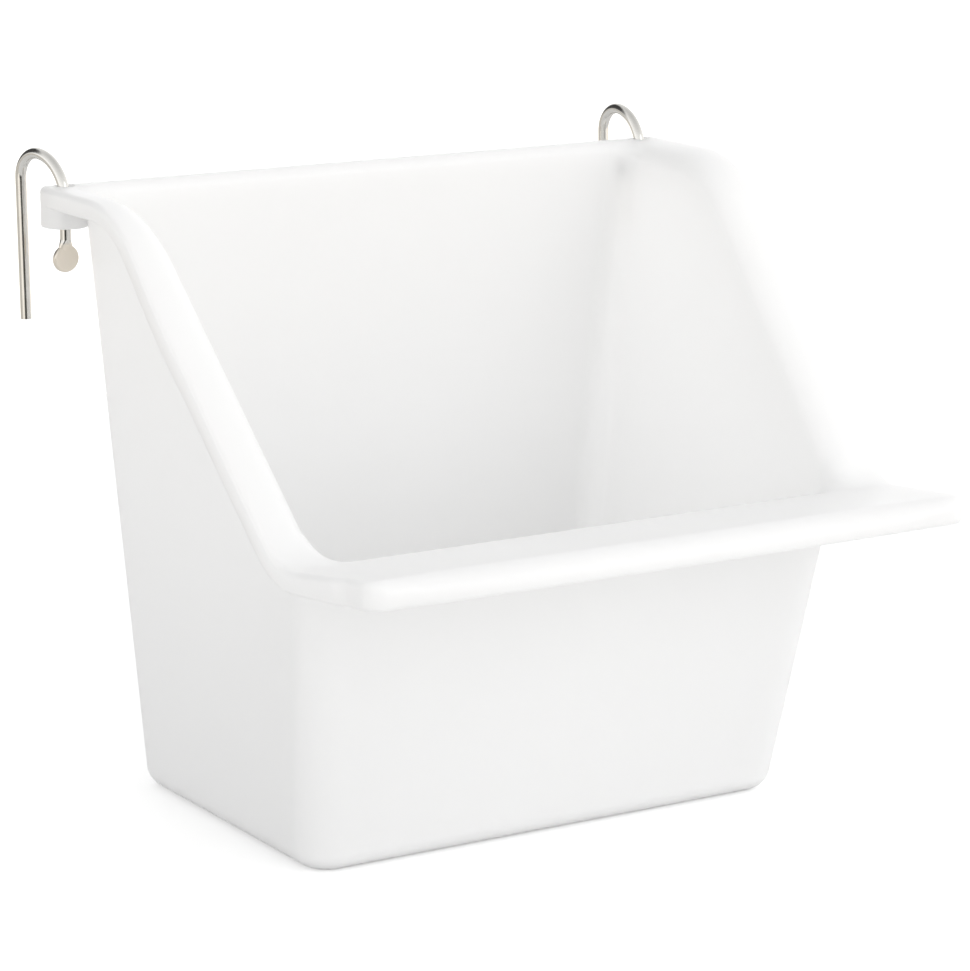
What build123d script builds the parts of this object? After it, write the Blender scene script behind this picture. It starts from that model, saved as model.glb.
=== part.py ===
from build123d import *
from math import cos, radians, sin, sqrt, tan
import os

# A high-backed feeder cup that hangs on a cage by two swivelling wire hooks.
# Millimetres. +Z is up, -Y is the bird's side, +Y the cage side, X runs across.
# The origin is the middle of the underside.

# Tub: walls that lean outwards as they rise
wall_thickness = 2.4
floor_thickness = 2.8
base_depth = 74.8
base_flare = 1.15
side_taper = 5.9
front_taper = 10.2
tub_corner_radius = 7.5
tub_bottom_radius = 4.8
floor_inner_radius = 4.0

# Rim and ledge, seen from the side
back_step = 1.7
rim_height = 126.5
rim_flat_depth = 32.3
rim_top_radius = 25.8
rim_foot_radius = 10.8
foot_gap = 0.9
ledge_height = 66.2
ledge_rise = 7.0
ledge_under_rise = 4.0
rim_thickness = 4.2

# Rim and ledge, seen from above, with depths measured from the back of the rim
rim_width = 149.6
rim_overhang = 6.6
ledge_inset = 6.0
ledge_reach = 119.1
ledge_bow = 1.2
ledge_corner_radius = 4.0
narrowing_start = 52.0
narrowing_end = 91.0
narrowing_radius = 80.0

# Rounding
inner_edge_radius = 2.6
outer_edge_radius = 1.2
under_edge_radius = 0.8
cove_radius = 0.8

# Hollow under the ledge
ledge_sheet = 2.4
ledge_lip = 2.6
hollow_gap = 4.0
hollow_corner_radius = 4.0

# Lugs that carry the hooks
lug_radius = 4.8
lug_height = 8.3
shank_setback = 2.5
hole_clearance = 0.08

# Hooks: one bent wire each, its lower end stamped flat
wire_diameter = 2.3
bend_start = 3.2
near_bend_radius = 8.8
near_bend_turn = 85.0
far_bend_radius = 5.35
leg_lean = 1.75
leg_length = 28.8
paddle_gap = 3.7
paddle_width = 6.2
paddle_height = 5.5
paddle_thickness = 1.0
paddle_edge_radius = 0.3
shoulder_length = 2.2
shoulder_width = 4.0
left_hook_turn = 12.8
right_hook_turn = -1.3

# Derived places of the tub
side_lean = tan(radians(side_taper))
front_lean = tan(radians(front_taper))
tub_rear = base_depth / 2
tub_front = -base_depth / 2
base_width_rear = rim_width - 2 * (rim_overhang + rim_height * side_lean)
base_width_front = base_width_rear + 2 * base_flare

# Derived places of the rim and ledge
back_plane = tub_rear + back_step
slope_top_y = back_plane - rim_flat_depth
foot_y = tub_front - ledge_height * front_lean - foot_gap
ledge_width = rim_width - 2 * ledge_inset
ledge_front = back_plane - ledge_reach
ledge_tip = ledge_front - 2 * ledge_bow
ledge_plane = Plane(
    origin=(0, foot_y, ledge_height),
    x_dir=(1, 0, 0),
    z_dir=(0, sin(radians(ledge_rise)), cos(radians(ledge_rise))),
)
hollow_half_width = ledge_width / 2 - ledge_lip
hollow_front = ledge_front + ledge_lip - foot_y
hollow_rear = tub_front - ledge_height * front_lean - hollow_gap - foot_y

# Derived places of the lugs and hooks
wire_radius = wire_diameter / 2
hole_radius = wire_radius + hole_clearance
shank_spacing = rim_width - 2 * lug_radius
shank_x = shank_spacing / 2
shank_y = back_plane - shank_setback
lug_bottom = rim_height - lug_height
web_start = base_width_rear / 2 + lug_bottom * side_lean - tub_corner_radius
web_depth = back_step + wall_thickness / 2
mouth_depth = bend_start + hole_clearance
bend_shift = near_bend_radius - sqrt(near_bend_radius**2 - bend_start**2)
mouth_radius = hole_radius + bend_shift + hole_clearance
far_bend_turn = 180 - near_bend_turn + leg_lean
paddle_top = lug_bottom - paddle_gap


def tub_section(height, inset):
    """One rounded cross-section of the tub at a height, moved inwards by an inset."""
    rear = base_width_rear / 2 + height * side_lean - inset
    front = base_width_front / 2 + height * side_lean - inset
    near = tub_front - height * front_lean + inset
    far = tub_rear - inset
    with BuildSketch(Plane.XY.offset(height)) as section:
        with BuildLine():
            Polyline((-rear, far), (-front, near), (front, near), (rear, far), close=True)
        make_face()
        fillet(section.vertices(), tub_corner_radius - inset)
    return section.sketch


def rim_line(rise, mode=Mode.ADD):
    """A line from the back of the rim, down the slope and along a ledge with a rise."""
    return FilletPolyline(
        (back_plane, rim_height),
        (slope_top_y, rim_height),
        (foot_y, ledge_height),
        (ledge_tip, ledge_height + (foot_y - ledge_tip) * tan(radians(rise))),
        radius=[rim_top_radius, rim_foot_radius],
        mode=mode,
    )


def faces_out(face):
    """Whether a face looks away from the middle of the tub."""
    middle = face.center()
    return face.normal_at().dot(Vector(middle.X, middle.Y, 0)) > 0


def faces_in(face):
    """Whether a face looks towards the middle of the tub."""
    return not faces_out(face)


def tub_walls(body):
    """The leaning faces of the tub, inside and out."""
    return body.faces().filter_by(GeomType.BSPLINE).filter_by(lambda f: abs(f.normal_at().Z) < 0.5)


def rim_tops(body):
    """The upper faces of the rim and ledge."""
    return body.faces().filter_by(lambda f: f.normal_at().Z > 0.5 and f.center().Z > ledge_height)


def rim_sides(body):
    """The upright outer faces of the rim and ledge."""
    return body.faces().filter_by(lambda f: f.geom_type != GeomType.BSPLINE and abs(f.normal_at().Z) < 0.01)


def rim_undersides(body):
    """The lower faces of the rim and ledge."""
    lowest = ledge_height - 2 * rim_thickness
    return body.faces().filter_by(lambda f: f.normal_at().Z < -0.5 and f.center().Z > lowest)


# Band of the rim and ledge, cut to its outline seen from above
with BuildPart() as rim_band:
    with BuildSketch(Plane.YZ):
        with BuildLine():
            band_top = rim_line(ledge_rise)
            low_guide = rim_line(ledge_under_rise, mode=Mode.PRIVATE)
            band_low = offset(low_guide, rim_thickness, side=Side.LEFT, closed=False, mode=Mode.ADD)
            Line(band_top @ 1, band_low @ 0)
            Line(band_low @ 1, band_top @ 0)
        make_face()
    extrude(amount=rim_width / 2, both=True)
    with BuildSketch(Plane.XY) as plan:
        with BuildLine():
            right_side = Polyline(
                (0, back_plane),
                (rim_width / 2, back_plane),
                (rim_width / 2, back_plane - narrowing_start),
                (ledge_width / 2, back_plane - narrowing_end),
                (ledge_width / 2, ledge_front),
            )
            left_side = mirror(right_side, about=Plane.YZ)
            ThreePointArc(right_side @ 1, (0, ledge_front - ledge_bow), left_side @ 1)
        make_face()
        front_corners, narrow_ends, wide_ends = plan.vertices().group_by(Axis.Y)[0:3]
        fillet(narrow_ends + wide_ends, narrowing_radius)
        fillet(plan.vertices().group_by(Axis.Y)[0], ledge_corner_radius)
    extrude(amount=2 * rim_height, mode=Mode.INTERSECT)

# Space inside the cup
with BuildPart() as cavity:
    add(tub_section(floor_thickness, wall_thickness))
    add(tub_section(rim_height + rim_thickness, wall_thickness))
    loft()
    fillet(cavity.faces().sort_by(Axis.Z)[0].edges(), floor_inner_radius)

# Everything under the rim line, as wide as the rim
with BuildPart() as under_rim:
    with BuildSketch(Plane.YZ):
        with BuildLine():
            top_line = rim_line(ledge_rise)
            Polyline(top_line @ 1, (ledge_tip, -floor_thickness), (back_plane, -floor_thickness), top_line @ 0)
        make_face()
    extrude(amount=rim_width / 2, both=True)

with BuildPart() as cup_body:
    # Tub, cut off along the rim line, with the band around it
    add(tub_section(0, 0))
    add(tub_section(rim_height, 0))
    loft()
    fillet(cup_body.faces().sort_by(Axis.Z)[0].edges(), tub_bottom_radius)
    add(under_rim.part, mode=Mode.INTERSECT)
    add(rim_band.part)
    add(cavity.part, mode=Mode.SUBTRACT)

    # Rounded mouth, rim edges and the cove under the rim
    inner_walls = cup_body.faces().filter_by(GeomType.BSPLINE).filter_by(faces_in)
    fillet(rim_tops(cup_body).edges() & inner_walls.edges(), inner_edge_radius)
    fillet(rim_tops(cup_body).edges() & rim_sides(cup_body).edges(), outer_edge_radius)
    fillet(rim_undersides(cup_body).edges() & rim_sides(cup_body).edges(), under_edge_radius)
    outer_walls = tub_walls(cup_body).filter_by(faces_out)
    fillet(rim_undersides(cup_body).edges() & outer_walls.edges(), cove_radius)

    # Hollow under the ledge, inside its lip
    with BuildSketch(ledge_plane.offset(-ledge_sheet)) as hollow:
        with BuildLine():
            back_line = Line((hollow_half_width, hollow_rear), (-hollow_half_width, hollow_rear))
            left_line = Line(back_line @ 1, (-hollow_half_width, hollow_front))
            ThreePointArc(left_line @ 1, (0, hollow_front - ledge_bow), (hollow_half_width, hollow_front))
            Line((hollow_half_width, hollow_front), back_line @ 0)
        make_face()
        fillet(hollow.vertices(), hollow_corner_radius)
    extrude(amount=-rim_thickness, mode=Mode.SUBTRACT)

    # Lugs under the rim's rear corners, joined to the rear wall by short webs
    with BuildSketch(Plane.XY.offset(lug_bottom)):
        with Locations((-shank_x, shank_y), (shank_x, shank_y)):
            Circle(lug_radius)
            Rectangle(2 * lug_radius, shank_setback, align=(Align.CENTER, Align.MIN))
        with Locations((0, back_plane)):
            Rectangle(rim_width, 2 * lug_radius, align=(Align.CENTER, Align.MIN), mode=Mode.SUBTRACT)
        with Locations((-web_start, back_plane)):
            Rectangle(shank_x - web_start, web_depth, align=(Align.MAX, Align.MAX))
        with Locations((web_start, back_plane)):
            Rectangle(shank_x - web_start, web_depth, align=(Align.MIN, Align.MAX))
    extrude(amount=lug_height - rim_thickness / 2)

    # Upright hole through each lug, flared at the top for the bend of the wire
    with Locations((-shank_x, shank_y, lug_bottom), (shank_x, shank_y, lug_bottom)):
        Cylinder(hole_radius, lug_height, align=(Align.CENTER, Align.CENTER, Align.MIN), mode=Mode.SUBTRACT)
    with Locations((-shank_x, shank_y, rim_height), (shank_x, shank_y, rim_height)):
        Cone(
            hole_radius,
            mouth_radius,
            mouth_depth,
            align=(Align.CENTER, Align.CENTER, Align.MAX),
            mode=Mode.SUBTRACT,
        )


def make_hook(side, turn):
    """One wire hook in its lug, turned outwards about its shank by an angle."""
    out = radians(turn)
    backwards = Vector(side * sin(out), cos(out), 0)
    across = Vector(cos(out), -side * sin(out), 0)
    shank_foot = Vector(side * shank_x, shank_y, 0)
    hook_plane = Plane(origin=shank_foot, x_dir=backwards, z_dir=across)
    paddle_middle = shank_foot + Vector(0, 0, paddle_top - paddle_height / 2)
    paddle_plane = Plane(origin=paddle_middle, x_dir=across, z_dir=backwards)
    shoulder_top = Plane(origin=shank_foot, x_dir=across, z_dir=(0, 0, 1)).offset(paddle_top + shoulder_length / 2)
    with BuildPart() as hook:
        # Round wire: shank, two bends over the cage bar, and the leg
        with BuildLine(hook_plane) as route:
            shank = Line((0, paddle_top + shoulder_length / 2), (0, rim_height - bend_start))
            near = JernArc(shank @ 1, shank % 1, near_bend_radius, -near_bend_turn)
            far = JernArc(near @ 1, near % 1, far_bend_radius, -far_bend_turn)
            Line(far @ 1, far @ 1 + (far % 1) * leg_length)
        with BuildSketch(Plane(origin=route.line @ 0, z_dir=route.line % 0)):
            Circle(wire_radius)
        sweep(path=route.line)

        # Flattened end that keeps the hook in its lug
        with BuildSketch(paddle_plane):
            Ellipse(paddle_width / 2, paddle_height / 2)
        extrude(amount=paddle_thickness / 2, both=True)
        fillet(hook.edges(Select.LAST), paddle_edge_radius)

        # Shoulder between the round wire and the flat
        with BuildSketch(shoulder_top):
            Circle(wire_radius)
        with BuildSketch(shoulder_top.offset(-shoulder_length)):
            Ellipse(shoulder_width / 2, paddle_thickness / 2)
        loft()
    return hook


os.makedirs("parts", exist_ok=True)
cup_body.part.label = "cup_body"
export_step(cup_body.part, "parts/cup_body.step")
for name, side, turn in (("left_hook", -1, left_hook_turn), ("right_hook", 1, right_hook_turn)):
    hook = make_hook(side, turn)
    hook.part.label = name
    export_step(hook.part, f"parts/{name}.step")
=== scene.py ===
from math import asin, atan, atan2, cos, pi, radians, sin, sqrt, tan

import bmesh
import bpy
from mathutils import Matrix, Vector


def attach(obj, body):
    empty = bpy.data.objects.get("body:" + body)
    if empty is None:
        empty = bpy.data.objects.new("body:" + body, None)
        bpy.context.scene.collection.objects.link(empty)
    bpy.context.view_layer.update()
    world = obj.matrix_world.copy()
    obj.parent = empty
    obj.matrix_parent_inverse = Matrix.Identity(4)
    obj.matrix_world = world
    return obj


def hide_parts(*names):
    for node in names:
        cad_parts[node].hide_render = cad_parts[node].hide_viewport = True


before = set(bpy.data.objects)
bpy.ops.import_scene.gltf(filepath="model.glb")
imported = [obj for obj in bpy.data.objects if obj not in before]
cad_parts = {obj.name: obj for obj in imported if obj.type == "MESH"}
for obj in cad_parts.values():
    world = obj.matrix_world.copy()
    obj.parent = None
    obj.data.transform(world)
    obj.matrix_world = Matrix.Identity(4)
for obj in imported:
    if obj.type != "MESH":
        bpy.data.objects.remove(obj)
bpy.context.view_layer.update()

# Tub, in metres
WALL = 0.0024
FLOOR = 0.0028
BASE_DEPTH = 0.0748
BASE_FLARE = 0.00115
SIDE_LEAN = tan(radians(5.9))
FRONT_LEAN = tan(radians(10.2))
TUB_CORNER = 0.0075
BOTTOM_ROUNDING = 0.0048
FLOOR_ROUNDING = 0.0040

# Rim and ledge, seen from the side
RIM_HEIGHT = 0.1265
RIM_THICKNESS = 0.0042
BACK_STEP = 0.0017
FLAT_DEPTH = 0.0323
TOP_RADIUS = 0.0258
FOOT_RADIUS = 0.0108
FOOT_GAP = 0.0009
LEDGE_HEIGHT = 0.0662
LEDGE_RISE = radians(7.0)
LEDGE_UNDER_RISE = radians(4.0)

# Rim and ledge, seen from above
RIM_HALF = 0.0748
RIM_OVERHANG = 0.0066
LEDGE_HALF = 0.0688
LEDGE_REACH = 0.1191
LEDGE_BOW = 0.00118
LEDGE_CORNER = 0.0040
REAR_CORNER = 0.0015
NARROWING_START = 0.052
NARROWING_END = 0.091
NARROWING_RADIUS = 0.080

# Roundings of the rim, at the rear, the sides and the front
MOUTH_REAR = 0.0024
MOUTH_SIDE = 0.0060
MOUTH_FRONT = 0.0100
COVE_REAR = 0.0009
COVE_SIDE = 0.0030
EDGE_SIDE = 0.0012
EDGE_FRONT = 0.0043
UNDER_EDGE = 0.0008

# Places worked out from the sizes above
TUB_REAR = BASE_DEPTH / 2
TUB_FRONT = -BASE_DEPTH / 2
BASE_HALF_REAR = RIM_HALF - RIM_OVERHANG - RIM_HEIGHT * SIDE_LEAN
BASE_HALF_FRONT = BASE_HALF_REAR + BASE_FLARE
BACK = TUB_REAR + BACK_STEP
SLOPE_TOP = BACK - FLAT_DEPTH
FOOT = TUB_FRONT - LEDGE_HEIGHT * FRONT_LEAN - FOOT_GAP
SLOPE = atan((RIM_HEIGHT - LEDGE_HEIGHT) / (SLOPE_TOP - FOOT))
LEDGE_FRONT = BACK - LEDGE_REACH

# Lugs and the holes for the hooks
LUG_RADIUS = 0.0048
LUG_HEIGHT = 0.0083
LUG_EDGE = 0.0007
SHANK_SETBACK = 0.0025
SHANK_X = RIM_HALF - LUG_RADIUS
SHANK_Y = BACK - SHANK_SETBACK
LUG_BOTTOM = RIM_HEIGHT - LUG_HEIGHT
LUG_SKIN = 0.00002
WEB_START = 0.0599
WEB_DEPTH = BACK_STEP + WALL / 2
HOLE_RADIUS = 0.00123
HOLE_MOUTH = 0.00191
HOLE_MOUTH_DEPTH = 0.00328
HOLE_LIP = 0.0004

# Hollow under the ledge
LEDGE_SHEET = 0.0024
LEDGE_LIP = 0.0026
HOLLOW_GAP = 0.0040
HOLLOW_DEPTH = 0.0045
HOLLOW_CORNER = 0.0040

# Steps of the cup's mesh, round half its outline and across its wall
REAR_STEPS = 14
REAR_CORNER_STEPS = 18
SIDE_STEPS = 120
FRONT_CORNER_STEPS = 36
FRONT_STEPS = 24
ROUND_STEPS = 10
FLAT_STEPS = 12
WALL_STEPS = 6

# Steps of the solids that join it or are cut out
LUG_STEPS = 24
LUG_EDGE_STEPS = 5
HOLE_STEPS = 48
HOLLOW_STEPS = 8

# Rounds that settle where a leaning wall meets the rim line
MEETING_ROUNDS = 60

# Points nearer than this are one point, and faces thinner than this are closed up
SLIVER = 0.000004
SAME_HEIGHT = 0.000001

# Edges sharper than this stay sharp in the shading
SHARP_ANGLE = radians(38)

# Camera: direction and distance of the photograph's view, in degrees and metres
VIEW_AZIMUTH = -32.803
VIEW_ELEVATION = 12.844
VIEW_ROLL = 0.413
VIEW_DISTANCE = 0.8134
AIM = Vector((0.01227, 0.00862, 0.06092))
LENS = 144.62

# Where the wire's lower end is stamped flat: its top, the blend to the round wire and the legs' depth
PADDLE_TOP = 0.1145
PADDLE_BLEND = 0.0007
LEG_START = 0.0430

# White plastic: how far light travels in it, its two tones, how uneven its gloss is, and the size of
# its patterns, as cells in a metre
PLASTIC_IOR = 1.49
SCATTER = 0.0085
PLASTIC_TONES = ((0.972, 0.972, 0.968, 1), (0.984, 0.984, 0.981, 1))
PLASTIC_ROUGHNESS = (0.29, 0.41)
FLOW_SCALE = 22.0
WEAR_SCALE = 60.0
SKIN_SCALE = 450.0
SINK_SCALE = 28.0
SKIN_DEPTH = 0.0001
SINK_DEPTH = 0.0003

# Steel wire: its tones, its tone where it is stamped flat, its roughness and how much rougher the
# stamped part is, and its cloudiness and drawn lines, as cells in a metre
STEEL_TONES = ((0.66, 0.645, 0.61, 1), (0.78, 0.77, 0.74, 1))
STAMPED_TONE = (0.80, 0.74, 0.65, 1)
STEEL_ROUGHNESS = (0.10, 0.17)
STAMPED_ROUGHNESS = 0.22
CLOUD_SCALE = 260.0
LINE_SCALE = (2600.0, 2600.0, 140.0)
LINE_DEPTH = 0.00005

# Light of the studio, straight above and at the sides, and of the lamp in front of the cup
WORLD_TOP = 0.71
WORLD_SIDE = 1.41
KEY_PLACE = (0.45, -1.25, 0.5)
KEY_TARGET = (0, 0, 0.06)
KEY_SIZE = 0.9
KEY_POWER = 1.9

# Floor: its tone, the glow that only the camera sees, and its size
FLOOR_ALBEDO = 0.90
FLOOR_ROUGHNESS = 0.8
FLOOR_GLOW = 0.32
FLOOR_RADIUS = 0.42
FLOOR_SEGMENTS = 128

# Dim parts of the studio, which only the steel shows clearly: in front below the horizon, behind above
# it, and at the left below it. Each has a direction, an inner and an outer half angle in degrees, and
# the share of light that is missing
DIM_PARTS = (
    (Vector((-0.352, -0.810, -0.470)), 25.0, 34.0, 0.95),
    (Vector((-0.400, 0.820, 0.410)), 21.0, 36.0, 0.94),
    (Vector((-0.557, 0.321, -0.766)), 44.0, 53.0, 0.46),
)

# Below the horizon the studio is warmer, from one height of the direction to another
LOW_TINT = (0.90, 0.86, 0.80, 1)
LOW_START = 0.02
LOW_END = -0.06


def mix(a, b, share):
    """A value between two others, with a smooth start and end."""
    share = min(max(share, 0.0), 1.0)
    return a + (b - a) * share * share * (3 - 2 * share)


def left_of(way):
    """The direction to the left of a direction of travel."""
    return Vector((-way.y, way.x))


def arc(centre, radius, start, end, steps):
    """Points and normals along an arc, both ends included."""
    angles = [start + (end - start) * k / steps for k in range(steps + 1)]
    normals = [Vector((cos(angle), sin(angle))) for angle in angles]
    return [(centre + normal * radius, normal) for normal in normals]


def corner_arc(corner, before, after, radius, steps):
    """The arc that rounds a right-hand corner between two directions of travel."""
    tangent = radius * tan(before.angle(after) / 2)
    centre = corner - before * tangent - left_of(before) * radius
    start, end = (atan2(left_of(way).y, left_of(way).x) for way in (before, after))
    return arc(centre, radius, start, end, steps)


def straight(start, end, normal, steps):
    """Points along a line, without its end, and their normal."""
    return [(start.lerp(end, k / steps), normal) for k in range(steps)]


def section(height, inset):
    """Half of the tub's outline at a height, from the middle of the rear to the middle of the front."""
    rear = Vector((BASE_HALF_REAR + height * SIDE_LEAN - inset, TUB_REAR - inset))
    front = Vector((BASE_HALF_FRONT + height * SIDE_LEAN - inset, TUB_FRONT - height * FRONT_LEAN + inset))
    right, down, left = Vector((1, 0)), (front - rear).normalized(), Vector((-1, 0))
    rear_arc = corner_arc(rear, right, down, TUB_CORNER - inset, REAR_CORNER_STEPS)
    front_arc = corner_arc(front, down, left, TUB_CORNER - inset, FRONT_CORNER_STEPS)
    stations = straight(Vector((0, rear.y)), rear_arc[0][0], Vector((0, 1)), REAR_STEPS)
    stations += rear_arc[:-1]
    stations += straight(rear_arc[-1][0], front_arc[0][0], left_of(down), SIDE_STEPS)
    stations += front_arc[:-1]
    stations += straight(front_arc[-1][0], Vector((0, front.y)), Vector((0, -1)), FRONT_STEPS)
    return stations + [(Vector((0, front.y)), Vector((0, -1)))]


def wall_lines(inset):
    """For each station, the wall's foot, its run for each metre of height, and its normal."""
    low, high = section(0, inset), section(RIM_HEIGHT, inset)
    return [(foot, (top - foot) / RIM_HEIGHT, normal) for (foot, normal), (top, _) in zip(low, high)]


def rim_heights(drop, rise):
    """The rim line's height at a depth, for a line that runs a distance below the rim's top."""
    top_tangent = TOP_RADIUS * tan(SLOPE / 2)
    top_y, top_z = SLOPE_TOP + top_tangent, RIM_HEIGHT - TOP_RADIUS
    foot_tangent = FOOT_RADIUS * tan((SLOPE + rise) / 2)
    foot_y = FOOT + foot_tangent * cos(SLOPE) - FOOT_RADIUS * sin(SLOPE)
    foot_z = LEDGE_HEIGHT + foot_tangent * sin(SLOPE) + FOOT_RADIUS * cos(SLOPE)
    top_radius, foot_radius = TOP_RADIUS - drop, FOOT_RADIUS + drop
    slope_start = top_y - top_radius * sin(SLOPE)
    slope_start_z = top_z + top_radius * cos(SLOPE)
    foot_start = foot_y + foot_radius * sin(SLOPE)
    foot_end = foot_y - foot_radius * sin(rise)
    foot_end_z = foot_z - foot_radius * cos(rise)

    def height(y):
        if y > top_y:
            return RIM_HEIGHT - drop
        if y > slope_start:
            return top_z + sqrt(top_radius**2 - (y - top_y) ** 2)
        if y > foot_start:
            return slope_start_z - (slope_start - y) * tan(SLOPE)
        if y > foot_end:
            return foot_z - sqrt(foot_radius**2 - (y - foot_y) ** 2)
        return foot_end_z + (foot_end - y) * tan(rise)

    return height


def rim_side():
    """The rim's right side seen from above, as points from the rear corner to the ledge's corner."""
    corners = [
        Vector((RIM_HALF, BACK)),
        Vector((RIM_HALF, BACK - NARROWING_START)),
        Vector((LEDGE_HALF, BACK - NARROWING_END)),
        Vector((LEDGE_HALF, LEDGE_FRONT)),
    ]
    inwards, ahead = (corners[2] - corners[1]).normalized(), Vector((0, -1))
    first = corner_arc(corners[1], ahead, inwards, NARROWING_RADIUS, ROUND_STEPS)
    tangent = NARROWING_RADIUS * tan(inwards.angle(ahead) / 2)
    centre = corners[2] + ahead * tangent + Vector((NARROWING_RADIUS, 0))
    turn = inwards.angle(ahead)
    second = arc(centre, NARROWING_RADIUS, pi + turn, pi, ROUND_STEPS)
    return [corners[0]] + [point for point, _ in first + second] + [corners[3]]


def half_width(side, y):
    """Half the rim's width at a depth."""
    for near, far in zip(side, side[1:]):
        if far.y <= y <= near.y:
            return near.lerp(far, (near.y - y) / (near.y - far.y)).x
    return side[-1].x


def ledge_edge(x):
    """The depth of the ledge's bowed front edge."""
    return LEDGE_FRONT - LEDGE_BOW * (1 - (x / LEDGE_HALF) ** 2)


def rim_outline(rims):
    """For each station, the rim's outer edge seen from above, its normal and its edge rounding."""
    side = rim_side()
    corner_start = REAR_STEPS
    side_start = corner_start + REAR_CORNER_STEPS
    front_corner_start = side_start + SIDE_STEPS
    front_start = front_corner_start + FRONT_CORNER_STEPS

    # The rear edge and its corner
    points = [Vector((rim.x, BACK)) for rim in rims[:corner_start]]
    third = REAR_CORNER_STEPS // 3
    before, after = Vector((rims[corner_start].x, BACK)), Vector((RIM_HALF, rims[side_start].y))
    corner = Vector((RIM_HALF - REAR_CORNER, BACK - REAR_CORNER))
    points += [before.lerp(Vector((corner.x, BACK)), k / third) for k in range(third)]
    points += [point for point, _ in arc(corner, REAR_CORNER, pi / 2, 0, third)]
    points += [Vector((RIM_HALF, corner.y)).lerp(after, k / third) for k in range(1, third)]

    # The side
    points += [Vector((half_width(side, rim.y), rim.y)) for rim in rims[side_start:front_corner_start]]

    # The rest of the side, the ledge's corner and its front edge
    start_y = rims[front_corner_start].y
    low_corner = Vector((LEDGE_HALF - LEDGE_CORNER, ledge_edge(LEDGE_HALF - LEDGE_CORNER) + LEDGE_CORNER))
    side_share = FRONT_CORNER_STEPS // 2
    turn_share = FRONT_CORNER_STEPS // 3
    for k in range(side_share):
        y = start_y + (low_corner.y - start_y) * k / side_share
        points.append(Vector((half_width(side, y), y)))
    points += [point for point, _ in arc(low_corner, LEDGE_CORNER, 0, -pi / 2, turn_share)]
    front_x = rims[front_start].x
    left_over = FRONT_CORNER_STEPS - side_share - turn_share
    for k in range(1, left_over):
        x = low_corner.x + (front_x - low_corner.x) * k / left_over
        points.append(Vector((x, ledge_edge(x))))
    points += [Vector((rim.x, ledge_edge(rim.x))) for rim in rims[front_start:]]

    # Normals and edge roundings
    outline = []
    for k, point in enumerate(points):
        ahead, behind = points[min(k + 1, len(points) - 1)], points[max(k - 1, 0)]
        normal = left_of((ahead - behind).normalized())
        nose = (k - front_corner_start - side_share) / (FRONT_CORNER_STEPS - side_share + FRONT_STEPS / 4)
        outline.append((point, normal, mix(EDGE_SIDE, EDGE_FRONT, nose)))
    outline[0] = (outline[0][0], Vector((0, 1)), EDGE_SIDE)
    outline[-1] = (outline[-1][0], Vector((0, -1)), EDGE_FRONT)
    return outline


def meeting(line, heights):
    """The height at which a leaning wall meets the rim line."""
    foot, run, _ = line
    height = LEDGE_HEIGHT
    for _ in range(MEETING_ROUNDS):
        height = heights(foot.y + run.y * height)
    return height


def round_off(radius, lean):
    """Steps of a rounding from a level face to a leaning wall: sideways and up or down."""
    reach = radius * (1 - sin(lean)) / cos(lean)
    angles = [(pi / 2 - lean) * k / ROUND_STEPS for k in range(ROUND_STEPS + 1)]
    return [(reach - radius * sin(angle), radius * (1 - cos(angle))) for angle in angles]


def station_share(k, rear, side, front):
    """A value that runs from the rear, over the rear corner, the side and the front corner, to the front."""
    if k < REAR_STEPS + REAR_CORNER_STEPS:
        return mix(rear, side, (k - REAR_STEPS) / REAR_CORNER_STEPS)
    return mix(side, front, (k - REAR_STEPS - REAR_CORNER_STEPS - SIDE_STEPS) / FRONT_CORNER_STEPS)


def level(point, height):
    """A point of the plan lifted to a height."""
    return Vector((point.x, point.y, height))


def outer_wall(k, line, top, low_heights, edge):
    """The outside of the cup at one station, from the underside to the rim's lower edge."""
    foot, run, normal = line
    out, out_normal, _ = edge

    # The rounding at the underside
    rings = []
    lean = atan(run.dot(normal))
    for sideways, up in round_off(BOTTOM_ROUNDING, lean):
        rings.append(level(foot - normal * (sideways + up * tan(lean)) + run * up, up))

    # The wall, up to the cove under the rim
    way = (out - (foot + run * top)).normalized()
    cove_lean = atan(max(run.dot(way), 0.0))
    cove = round_off(station_share(k, COVE_REAR, COVE_SIDE, COVE_SIDE), cove_lean)
    wall_end = top - cove[-1][1]
    wall_start = rings[-1].z
    for step in range(1, WALL_STEPS):
        height = wall_start + (wall_end - wall_start) * step / WALL_STEPS
        rings.append(level(foot + run * height, height))

    # The cove
    corner = foot + run * top
    for sideways, down in reversed(cove):
        across = corner + way * (sideways + down * tan(cove_lean))
        rings.append(level(across - run * down, low_heights(across.y) - down))

    # The rim's underside and its lower edge
    under_start, under_end = corner + way * cove[0][0], out - out_normal * UNDER_EDGE
    for step in range(1, FLAT_STEPS):
        point = under_start.lerp(under_end, step / FLAT_STEPS)
        rings.append(level(point, low_heights(point.y)))
    for step in range(ROUND_STEPS // 2 + 1):
        angle = pi / 2 * step / (ROUND_STEPS // 2)
        point = out - out_normal * UNDER_EDGE * (1 - sin(angle))
        rings.append(level(point, low_heights(point.y) + UNDER_EDGE * (1 - cos(angle))))
    return rings


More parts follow.
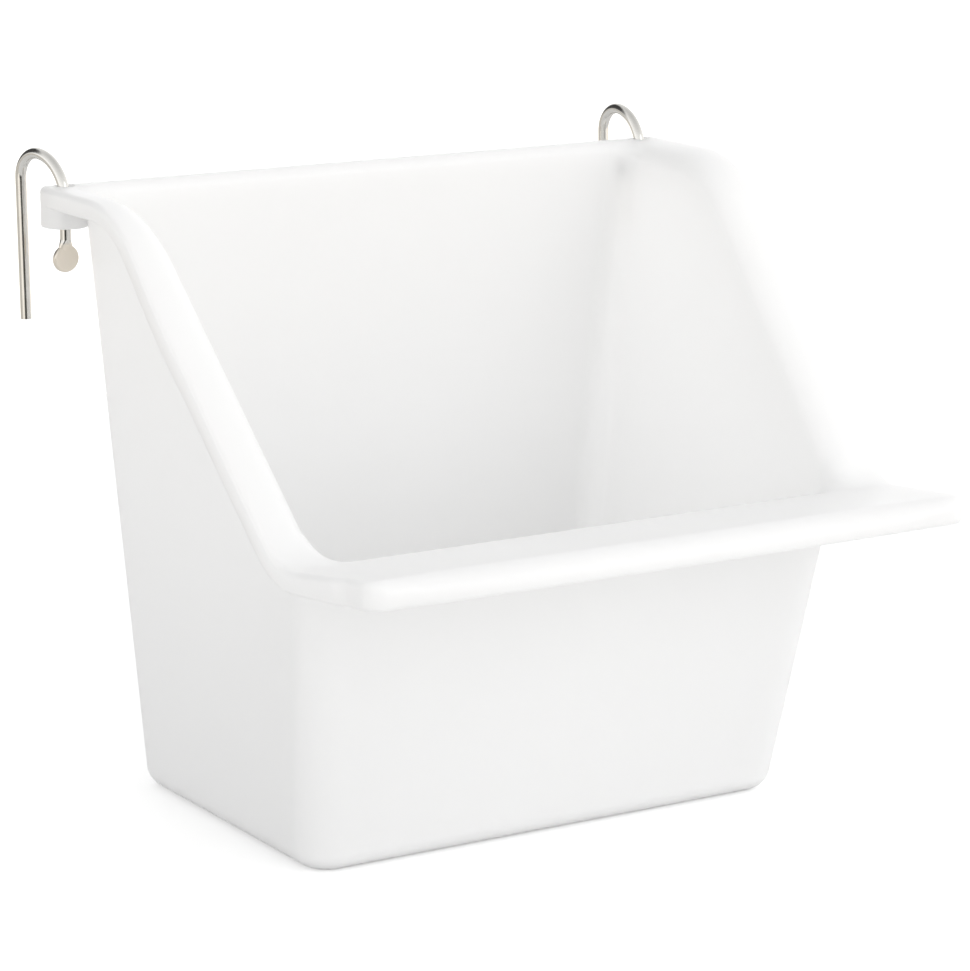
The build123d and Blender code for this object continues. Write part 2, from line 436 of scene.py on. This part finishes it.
def rim_top(k, line, top, heights, edge):
    """The rim's outer edge, its top and its inner rounding at one station."""
    foot, run, _ = line
    out, out_normal, rounding = edge

    # The outer edge
    rings = []
    for step in range(ROUND_STEPS + 1):
        angle = pi / 2 * (1 - step / ROUND_STEPS)
        point = out - out_normal * rounding * (1 - sin(angle))
        rings.append(level(point, heights(point.y) - rounding * (1 - cos(angle))))

    # The flat top and the rounding of the mouth
    corner = foot + run * top
    way = (out - corner).normalized()
    lean = atan(max(run.dot(way), 0.0))
    mouth = round_off(station_share(k, MOUTH_REAR, MOUTH_SIDE, MOUTH_FRONT), lean)
    flat_start, flat_end = out - out_normal * rounding, corner + way * mouth[0][0]
    for step in range(1, FLAT_STEPS):
        point = flat_start.lerp(flat_end, step / FLAT_STEPS)
        rings.append(level(point, heights(point.y)))
    for sideways, down in mouth:
        across = corner + way * (sideways + down * tan(lean))
        rings.append(level(across - run * down, heights(across.y) - down))
    return rings


def inner_wall(line, start):
    """The inside of the cup at one station, from under the rim's rounding to the floor."""
    foot, run, normal = line
    lean = atan(run.dot(normal))
    corner = foot + run * FLOOR
    floor_round = round_off(FLOOR_ROUNDING, lean)
    end = FLOOR + floor_round[-1][1]
    rings = []
    for step in range(1, WALL_STEPS):
        height = start + (end - start) * step / WALL_STEPS
        rings.append(level(foot + run * height, height))
    for sideways, up in reversed(floor_round):
        rings.append(level(corner - normal * (sideways + up * tan(lean)) + run * up, FLOOR + up))
    return rings


def cup_rings():
    """The cup's skin at each station of its right half, as rings of points from outside to inside."""
    top_heights = rim_heights(0.0, LEDGE_RISE)
    low_heights = rim_heights(RIM_THICKNESS, LEDGE_UNDER_RISE)
    outer, inner = wall_lines(0.0), wall_lines(WALL)
    tops = [meeting(line, top_heights) for line in inner]
    rims = [foot + run * top for (foot, run, _), top in zip(inner, tops)]
    outline = rim_outline(rims)
    columns = []
    for k, (out_line, in_line, top, edge) in enumerate(zip(outer, inner, tops, outline)):
        under = meeting(out_line, low_heights)
        column = outer_wall(k, out_line, under, low_heights, edge)
        column += rim_top(k, in_line, top, top_heights, edge)
        column += inner_wall(in_line, column[-1].z)
        columns.append(column)
    return columns


def mesh_object(name, mesh_data):
    """A new object in the scene from a bmesh, which it uses up."""
    bmesh.ops.recalc_face_normals(mesh_data, faces=mesh_data.faces)
    mesh = bpy.data.meshes.new(name)
    mesh_data.to_mesh(mesh)
    mesh_data.free()
    piece = bpy.data.objects.new(name, mesh)
    bpy.context.scene.collection.objects.link(piece)
    return piece


def cup_skin():
    """The moulding without its lugs, holes and hollow.

    Its skin is cut into triangles, because the lugs, holes and hollow cut flat faces cleanly.
    """
    columns = cup_rings()
    mirrored = [[Vector((-p.x, p.y, p.z)) for p in column] for column in reversed(columns[1:-1])]
    loop = columns + mirrored
    shape = bmesh.new()
    grid = [[shape.verts.new(point) for point in column] for column in loop]
    for k, column in enumerate(grid):
        after = grid[(k + 1) % len(grid)]
        for a, b, c, d in zip(column, column[1:], after[1:], after):
            shape.faces.new((a, b, c, d))
    bmesh.ops.triangulate(shape, faces=shape.faces)
    shape.faces.new([column[0] for column in grid])
    shape.faces.new([column[-1] for column in grid])
    return mesh_object("cup", shape)


def prism(name, outline, low, high):
    """A solid with an outline seen from above, between two heights."""
    shape = bmesh.new()
    bottom = [shape.verts.new(level(point, low)) for point in outline]
    top = [shape.verts.new(level(point, high)) for point in outline]
    shape.faces.new(bottom)
    shape.faces.new(top)
    for k in range(len(outline)):
        after = (k + 1) % len(outline)
        shape.faces.new((bottom[k], bottom[after], top[after], top[k]))
    return mesh_object(name, shape)


def lug(side):
    """One lug under the rim's rear corner, with a rounded lower edge."""
    back = BACK - LUG_SKIN
    centre = Vector((SHANK_X, SHANK_Y))
    web_turn = asin((WEB_DEPTH - SHANK_SETBACK) / LUG_RADIUS)
    points = [Vector((WEB_START, back))]
    corner = Vector((RIM_HALF - REAR_CORNER, BACK - REAR_CORNER))
    points += [point for point, _ in arc(corner, REAR_CORNER - LUG_SKIN, pi / 2, 0, ROUND_STEPS)]
    points += [point for point, _ in arc(centre, LUG_RADIUS - LUG_SKIN, 0, web_turn - pi, LUG_STEPS)]
    points += [Vector((WEB_START, BACK - WEB_DEPTH))]
    outline = [Vector((side * point.x, point.y)) for point in points]
    piece = prism("lug", outline, LUG_BOTTOM, RIM_HEIGHT - RIM_THICKNESS / 2)
    shape = bmesh.new()
    shape.from_mesh(piece.data)
    low_edges = [e for e in shape.edges if all(abs(v.co.z - LUG_BOTTOM) < SAME_HEIGHT for v in e.verts)]
    bmesh.ops.bevel(
        shape, geom=low_edges, offset=LUG_EDGE, segments=LUG_EDGE_STEPS, profile=0.5, affect="EDGES"
    )
    bmesh.ops.recalc_face_normals(shape, faces=shape.faces)
    shape.to_mesh(piece.data)
    shape.free()
    return piece


def hook_hole(side):
    """The space of one upright hole, flared and rounded at its mouth."""
    profile = [
        (HOLE_RADIUS, LUG_BOTTOM - HOLE_LIP),
        (HOLE_RADIUS, RIM_HEIGHT - HOLE_MOUTH_DEPTH),
        (HOLE_MOUTH - HOLE_LIP / 4, RIM_HEIGHT - HOLE_LIP),
        (HOLE_MOUTH, RIM_HEIGHT - HOLE_LIP / 2),
        (HOLE_MOUTH + HOLE_LIP / 2, RIM_HEIGHT),
        (HOLE_MOUTH + HOLE_LIP, RIM_HEIGHT + HOLE_LIP),
    ]
    shape = bmesh.new()
    rings = []
    for radius, height in profile:
        ring = arc(Vector((side * SHANK_X, SHANK_Y)), radius, 0, 2 * pi, HOLE_STEPS)[:-1]
        rings.append([shape.verts.new(level(point, height)) for point, _ in ring])
    for low, high in zip(rings, rings[1:]):
        for k in range(HOLE_STEPS):
            after = (k + 1) % HOLE_STEPS
            shape.faces.new((low[k], low[after], high[after], high[k]))
    shape.faces.new(rings[0])
    shape.faces.new(rings[-1])
    return mesh_object("hook_hole", shape)


def ledge_hollow():
    """The space of the hollow under the ledge."""
    x = LEDGE_HALF - LEDGE_LIP - HOLLOW_CORNER
    rear = TUB_FRONT - LEDGE_HEIGHT * FRONT_LEAN - HOLLOW_GAP - HOLLOW_CORNER
    near = LEDGE_FRONT + LEDGE_LIP + HOLLOW_CORNER
    corners = (
        (Vector((x, rear)), pi / 2),
        (Vector((x, near)), 0),
        (Vector((-x, near)), -pi / 2),
        (Vector((-x, rear)), -pi),
    )
    outline = []
    for centre, start in corners:
        outline += [point for point, _ in arc(centre, HOLLOW_CORNER, start, start - pi / 2, HOLLOW_STEPS)]
    piece = prism("ledge_hollow", outline, 0.0, HOLLOW_DEPTH)
    for vertex in piece.data.vertices:
        ceiling = LEDGE_HEIGHT + (FOOT - vertex.co.y) * tan(LEDGE_RISE) - LEDGE_SHEET
        vertex.co.z += ceiling - HOLLOW_DEPTH
    return piece


def carve(piece, other, operation):
    """Joins another solid to a piece, or cuts it out."""
    modifier = piece.modifiers.new(operation.lower(), "BOOLEAN")
    modifier.operation = operation
    modifier.solver = "EXACT"
    modifier.object = other
    bpy.context.view_layer.update()
    evaluated = piece.evaluated_get(bpy.context.evaluated_depsgraph_get())
    mesh = bpy.data.meshes.new_from_object(evaluated)
    piece.modifiers.clear()
    piece.data = mesh
    bpy.data.objects.remove(other)


def clear_slivers(piece):
    """Closes the near-zero gaps and faces that cutting leaves along an edge."""
    shape = bmesh.new()
    shape.from_mesh(piece.data)
    bmesh.ops.remove_doubles(shape, verts=shape.verts, dist=SLIVER)
    bmesh.ops.dissolve_degenerate(shape, dist=SLIVER, edges=shape.edges)
    shape.to_mesh(piece.data)
    shape.free()


def make_cup():
    """The whole moulding, riding on the cup's body in place of its plain solid."""
    cup = cup_skin()
    for side in (-1, 1):
        carve(cup, lug(side), "UNION")
    for side in (-1, 1):
        carve(cup, hook_hole(side), "DIFFERENCE")
    carve(cup, ledge_hollow(), "DIFFERENCE")
    clear_slivers(cup)
    cup.data.shade_smooth()
    cup.data.set_sharp_from_angle(angle=SHARP_ANGLE)
    weights = cup.modifiers.new("even_normals", "WEIGHTED_NORMAL")
    weights.keep_sharp = True
    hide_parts("cup_body")
    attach(cup, "cup")
    return cup


def new_material(name):
    """A material with one Principled shader, and that shader."""
    material = bpy.data.materials.new(name)
    material.use_nodes = True
    shader = material.node_tree.nodes["Principled BSDF"]
    return material, shader


def add_node(tree, kind, inputs=None, **settings):
    """A shader node with some of its sockets and settings filled in."""
    node = tree.nodes.new(kind)
    for name, value in settings.items():
        setattr(node, name, value)
    for name, value in (inputs or {}).items():
        node.inputs[name].default_value = value
    return node


def white_plastic():
    """Glossy white moulded plastic with a faint flow pattern and a fine skin."""
    material, shader = new_material("white_plastic")
    tree = material.node_tree
    shader.inputs["IOR"].default_value = PLASTIC_IOR
    shader.inputs["Subsurface Weight"].default_value = 1.0
    shader.inputs["Subsurface Radius"].default_value = (1, 1, 1)
    shader.inputs["Subsurface Scale"].default_value = SCATTER
    coordinates = add_node(tree, "ShaderNodeTexCoord").outputs["Object"]

    flow = add_node(tree, "ShaderNodeTexNoise", {"Scale": FLOW_SCALE, "Detail": 3.0, "Distortion": 0.6})
    tone = add_node(tree, "ShaderNodeValToRGB")
    for element, colour in zip(tone.color_ramp.elements, PLASTIC_TONES):
        element.color = colour
    tree.links.new(coordinates, flow.inputs["Vector"])
    tree.links.new(flow.outputs["Fac"], tone.inputs["Fac"])
    tree.links.new(tone.outputs["Color"], shader.inputs["Base Color"])

    wear = add_node(tree, "ShaderNodeTexNoise", {"Scale": WEAR_SCALE, "Detail": 5.0})
    smooth, dull = PLASTIC_ROUGHNESS
    gloss = add_node(tree, "ShaderNodeMapRange", {"To Min": smooth, "To Max": dull})
    tree.links.new(coordinates, wear.inputs["Vector"])
    tree.links.new(wear.outputs["Fac"], gloss.inputs["Value"])
    tree.links.new(gloss.outputs["Result"], shader.inputs["Roughness"])

    skin = add_node(tree, "ShaderNodeTexNoise", {"Scale": SKIN_SCALE, "Detail": 1.0})
    sink = add_node(tree, "ShaderNodeTexNoise", {"Scale": SINK_SCALE, "Detail": 0.0})
    fine = add_node(tree, "ShaderNodeBump", {"Strength": 0.03, "Distance": SKIN_DEPTH})
    broad = add_node(tree, "ShaderNodeBump", {"Strength": 0.05, "Distance": SINK_DEPTH})
    tree.links.new(coordinates, skin.inputs["Vector"])
    tree.links.new(coordinates, sink.inputs["Vector"])
    tree.links.new(skin.outputs["Fac"], fine.inputs["Height"])
    tree.links.new(sink.outputs["Fac"], broad.inputs["Height"])
    tree.links.new(broad.outputs["Normal"], fine.inputs["Normal"])
    tree.links.new(fine.outputs["Normal"], shader.inputs["Normal"])
    return material


def polished_wire():
    """Drawn and polished steel wire, warmer and duller where its end is stamped flat."""
    material, shader = new_material("polished_wire")
    tree = material.node_tree
    shader.inputs["Metallic"].default_value = 1.0
    coordinates = add_node(tree, "ShaderNodeTexCoord").outputs["Object"]
    parts = add_node(tree, "ShaderNodeSeparateXYZ")
    tree.links.new(coordinates, parts.inputs[0])

    stamp_start, leg_end = PADDLE_TOP + PADDLE_BLEND, LEG_START - PADDLE_BLEND
    below = add_node(tree, "ShaderNodeMapRange", {"From Min": stamp_start, "From Max": PADDLE_TOP})
    ahead = add_node(tree, "ShaderNodeMapRange", {"From Min": LEG_START, "From Max": leg_end})
    stamped = add_node(tree, "ShaderNodeMath", operation="MULTIPLY")
    tree.links.new(parts.outputs["Z"], below.inputs["Value"])
    tree.links.new(parts.outputs["Y"], ahead.inputs["Value"])
    tree.links.new(below.outputs["Result"], stamped.inputs[0])
    tree.links.new(ahead.outputs["Result"], stamped.inputs[1])

    cloud = add_node(tree, "ShaderNodeTexNoise", {"Scale": CLOUD_SCALE, "Detail": 3.0})
    tree.links.new(coordinates, cloud.inputs["Vector"])
    tone = add_node(tree, "ShaderNodeValToRGB")
    for element, colour in zip(tone.color_ramp.elements, STEEL_TONES):
        element.color = colour
    tree.links.new(cloud.outputs["Fac"], tone.inputs["Fac"])
    tint = add_node(tree, "ShaderNodeMixRGB", {"Color2": STAMPED_TONE})
    tree.links.new(stamped.outputs[0], tint.inputs["Fac"])
    tree.links.new(tone.outputs["Color"], tint.inputs["Color1"])
    tree.links.new(tint.outputs["Color"], shader.inputs["Base Color"])

    bright, worn = STEEL_ROUGHNESS
    polish = add_node(tree, "ShaderNodeMapRange", {"To Min": bright, "To Max": worn})
    dullness = add_node(tree, "ShaderNodeMath", {1: STAMPED_ROUGHNESS}, operation="MULTIPLY")
    roughness = add_node(tree, "ShaderNodeMath", operation="ADD")
    tree.links.new(cloud.outputs["Fac"], polish.inputs["Value"])
    tree.links.new(stamped.outputs[0], dullness.inputs[0])
    tree.links.new(polish.outputs["Result"], roughness.inputs[0])
    tree.links.new(dullness.outputs[0], roughness.inputs[1])
    tree.links.new(roughness.outputs[0], shader.inputs["Roughness"])

    grain = add_node(tree, "ShaderNodeMapping")
    grain.inputs["Scale"].default_value = LINE_SCALE
    lines = add_node(tree, "ShaderNodeTexNoise", {"Scale": 1.0, "Detail": 2.0})
    bump = add_node(tree, "ShaderNodeBump", {"Strength": 0.12, "Distance": LINE_DEPTH})
    tree.links.new(coordinates, grain.inputs["Vector"])
    tree.links.new(grain.outputs["Vector"], lines.inputs["Vector"])
    tree.links.new(lines.outputs["Fac"], bump.inputs["Height"])
    tree.links.new(bump.outputs["Normal"], shader.inputs["Normal"])
    return material


def set_material(piece, material):
    """Gives a piece one material all over."""
    piece.data.materials.clear()
    piece.data.materials.append(material)


def make_camera():
    """The camera at the photograph's viewing angle."""
    azimuth, elevation, roll = radians(VIEW_AZIMUTH), radians(VIEW_ELEVATION), radians(VIEW_ROLL)
    back = Vector((sin(azimuth) * cos(elevation), -cos(azimuth) * cos(elevation), sin(elevation)))
    right = Vector((0, 0, 1)).cross(back).normalized()
    up = back.cross(right)
    rolled_right = cos(roll) * right + sin(roll) * up
    rolled_up = cos(roll) * up - sin(roll) * right
    data = bpy.data.cameras.new("photo_camera")
    data.lens = LENS
    data.clip_start = 0.01
    camera = bpy.data.objects.new("photo_camera", data)
    turn = Matrix((rolled_right, rolled_up, back)).transposed()
    camera.matrix_world = Matrix.LocRotScale(AIM + back * VIEW_DISTANCE, turn, None)
    bpy.context.scene.collection.objects.link(camera)
    bpy.context.scene.camera = camera


def dim_part(tree, direction, centre, inner, outer, missing):
    """The share of light left in a direction, around one dim part of the studio."""
    nearness = add_node(tree, "ShaderNodeVectorMath", operation="DOT_PRODUCT")
    nearness.inputs[1].default_value = centre.normalized()
    tree.links.new(direction, nearness.inputs[0])
    limits = {
        "From Min": cos(radians(outer)),
        "From Max": cos(radians(inner)),
        "To Min": 1.0,
        "To Max": 1.0 - missing,
    }
    share = add_node(tree, "ShaderNodeMapRange", limits, interpolation_type="SMOOTHSTEP")
    tree.links.new(nearness.outputs["Value"], share.inputs["Value"])
    return share.outputs["Result"]


def make_world():
    """A plain soft studio that the camera sees as white."""
    world = bpy.data.worlds.new("studio")
    bpy.context.scene.world = world
    world.use_nodes = True
    tree = world.node_tree
    background = tree.nodes["Background"]
    direction = add_node(tree, "ShaderNodeTexCoord").outputs["Generated"]
    parts = add_node(tree, "ShaderNodeSeparateXYZ")
    tree.links.new(direction, parts.inputs[0])
    sky = add_node(tree, "ShaderNodeMapRange", {"To Min": WORLD_SIDE, "To Max": WORLD_TOP})
    tree.links.new(parts.outputs["Z"], sky.inputs["Value"])
    light = sky.outputs["Result"]
    for part in DIM_PARTS:
        product = add_node(tree, "ShaderNodeMath", operation="MULTIPLY")
        tree.links.new(light, product.inputs[0])
        tree.links.new(dim_part(tree, direction, *part), product.inputs[1])
        light = product.outputs[0]
    path = add_node(tree, "ShaderNodeLightPath")
    seen = add_node(tree, "ShaderNodeMath", operation="MAXIMUM")
    tree.links.new(path.outputs["Is Camera Ray"], seen.inputs[0])
    tree.links.new(light, seen.inputs[1])
    tree.links.new(seen.outputs[0], background.inputs["Strength"])

    low = add_node(tree, "ShaderNodeMapRange", {"From Min": LOW_START, "From Max": LOW_END})
    upwards = add_node(tree, "ShaderNodeMath", operation="SUBTRACT", use_clamp=True)
    tree.links.new(parts.outputs["Z"], low.inputs["Value"])
    tree.links.new(low.outputs["Result"], upwards.inputs[0])
    tree.links.new(path.outputs["Is Camera Ray"], upwards.inputs[1])
    tint = add_node(tree, "ShaderNodeMixRGB", {"Color1": (1, 1, 1, 1), "Color2": LOW_TINT})
    tree.links.new(upwards.outputs[0], tint.inputs["Fac"])
    tree.links.new(tint.outputs["Color"], background.inputs["Color"])


def make_floor():
    """A plain white round table top that keeps a soft shadow."""
    shape = bmesh.new()
    bmesh.ops.create_circle(shape, cap_ends=True, segments=FLOOR_SEGMENTS, radius=FLOOR_RADIUS)
    floor = mesh_object("floor", shape)
    material, shader = new_material("floor_white")
    tree = material.node_tree
    shader.inputs["Base Color"].default_value = (FLOOR_ALBEDO, FLOOR_ALBEDO, FLOOR_ALBEDO, 1)
    shader.inputs["Roughness"].default_value = FLOOR_ROUGHNESS
    shader.inputs["Emission Color"].default_value = (1, 1, 1, 1)
    path = add_node(tree, "ShaderNodeLightPath")
    glow = add_node(tree, "ShaderNodeMath", {1: FLOOR_GLOW}, operation="MULTIPLY")
    tree.links.new(path.outputs["Is Camera Ray"], glow.inputs[0])
    tree.links.new(glow.outputs[0], shader.inputs["Emission Strength"])
    set_material(floor, material)


def make_light(name, place, target, size, power):
    """A soft square lamp that faces a point."""
    data = bpy.data.lights.new(name, "AREA")
    data.size = size
    data.energy = power
    lamp = bpy.data.objects.new(name, data)
    lamp.location = place
    lamp.rotation_mode = "QUATERNION"
    lamp.rotation_quaternion = (Vector(target) - Vector(place)).to_track_quat("-Z", "Y")
    bpy.context.scene.collection.objects.link(lamp)


make_camera()
make_world()
make_floor()
make_light("key", KEY_PLACE, KEY_TARGET, KEY_SIZE, KEY_POWER)

cup = make_cup()
set_material(cup, white_plastic())
wire = polished_wire()
set_material(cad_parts["left_hook"], wire)
set_material(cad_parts["right_hook"], wire)

bpy.context.scene.view_settings.view_transform = "Standard"
